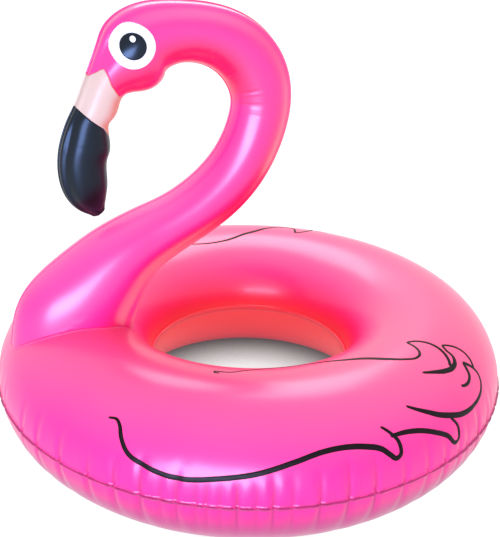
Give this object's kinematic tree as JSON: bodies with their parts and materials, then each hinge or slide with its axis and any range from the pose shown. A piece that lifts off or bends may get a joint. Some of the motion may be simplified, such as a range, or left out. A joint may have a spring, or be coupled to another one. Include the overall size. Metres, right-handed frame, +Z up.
{
  "type": "inflatable pool float",
  "caption": "Inflated vinyl swim ring with a seat hole, and an upright bird's neck, head and hooked beak welded on; screw valve on the ring, push-in valve on the neck.",
  "frame": {"origin": "on the ring's axis at floor level, the bottom centre of the bounding box", "axes": "+Z up; the bird looks along -X, so its left side is -Y and its tail end is +X"},
  "size_m": [1.208, 1.208, 1.0038],
  "materials": {
    "pink_vinyl": "soft gloss",
    "pale_vinyl": "soft gloss",
    "black_vinyl": "gloss",
    "white_vinyl": "soft gloss",
    "clear_vinyl": "cloudy clear",
    "valve_plastic": "satin",
    "valve_rubber": "matt"
  },
  "bodies": {
    "float": {"ring_upper_panel": "pink_vinyl", "ring_lower_panel": "pink_vinyl", "neck_panel_left": "pink_vinyl", "neck_panel_right": "pink_vinyl", "beak_base_left": "pale_vinyl", "beak_base_right": "pale_vinyl", "beak_tip_left": "black_vinyl", "beak_tip_right": "black_vinyl", "eye_white_left": "white_vinyl", "eye_white_right": "white_vinyl", "eye_pupil_left": "black_vinyl", "eye_pupil_right": "black_vinyl", "ring_valve_base": "clear_vinyl", "neck_valve_base": "clear_vinyl"},
    "valve_seal": {"ring_valve_seal": "valve_rubber"},
    "valve_screw": {"ring_valve_body": "valve_plastic", "ring_valve_strap": "valve_plastic"},
    "valve_cap": {"ring_valve_cap": "valve_plastic"},
    "valve_flap": {"ring_valve_flap": "valve_rubber"},
    "neck_stem": {"neck_valve_stem": "clear_vinyl"},
    "neck_plug": {"neck_valve_plug": "clear_vinyl"},
    "neck_flap": {"neck_valve_flap": "valve_rubber"}
  },
  "joints": [
    {"name": "ring_valve_rise", "type": "slide", "parent": "float", "child": "valve_seal", "axis": [0.4325, 0.749, 0.5019], "range_m": [0, 0.008]},
    {"name": "ring_valve_turn", "type": "hinge", "parent": "valve_seal", "child": "valve_screw", "pos_m": [0.28952, 0.50147, 0.24074], "axis": [0.4325, 0.749, 0.5019], "range_deg": [0, 720]},
    {"name": "ring_valve_cap_swing", "type": "hinge", "parent": "valve_screw", "child": "valve_cap", "pos_m": [0.27209, 0.52027, 0.24513], "axis": [-0.251, -0.4347, 0.8649], "range_deg": [0, 150]},
    {"name": "ring_valve_flap_swing", "type": "hinge", "parent": "valve_screw", "child": "valve_flap", "pos_m": [0.29732, 0.49597, 0.24024], "axis": [-0.251, -0.4347, 0.8649], "range_deg": [0, 50], "stiffness_Nm_per_rad": 0.002, "springref_deg": -11.46},
    {"name": "neck_valve_press", "type": "slide", "parent": "float", "child": "neck_stem", "axis": [-0.0847, -0.9902, -0.1109], "range_m": [0, 0.006]},
    {"name": "neck_valve_plug_swing", "type": "hinge", "parent": "neck_stem", "child": "neck_plug", "pos_m": [-0.29034, 0.08211, 0.48068], "axis": [0.9964, -0.0852, 0], "range_deg": [0, 120]},
    {"name": "neck_valve_flap_swing", "type": "hinge", "parent": "neck_stem", "child": "neck_flap", "pos_m": [-0.29197, 0.06299, 0.46194], "axis": [0.9964, -0.0852, 0], "range_deg": [0, 50], "stiffness_Nm_per_rad": 0.0005, "springref_deg": -11.46}
  ],
  "couplings": [
    {"joint": "ring_valve_turn", "follows": "ring_valve_rise", "rad_per_m": 1570.8}
  ]
}
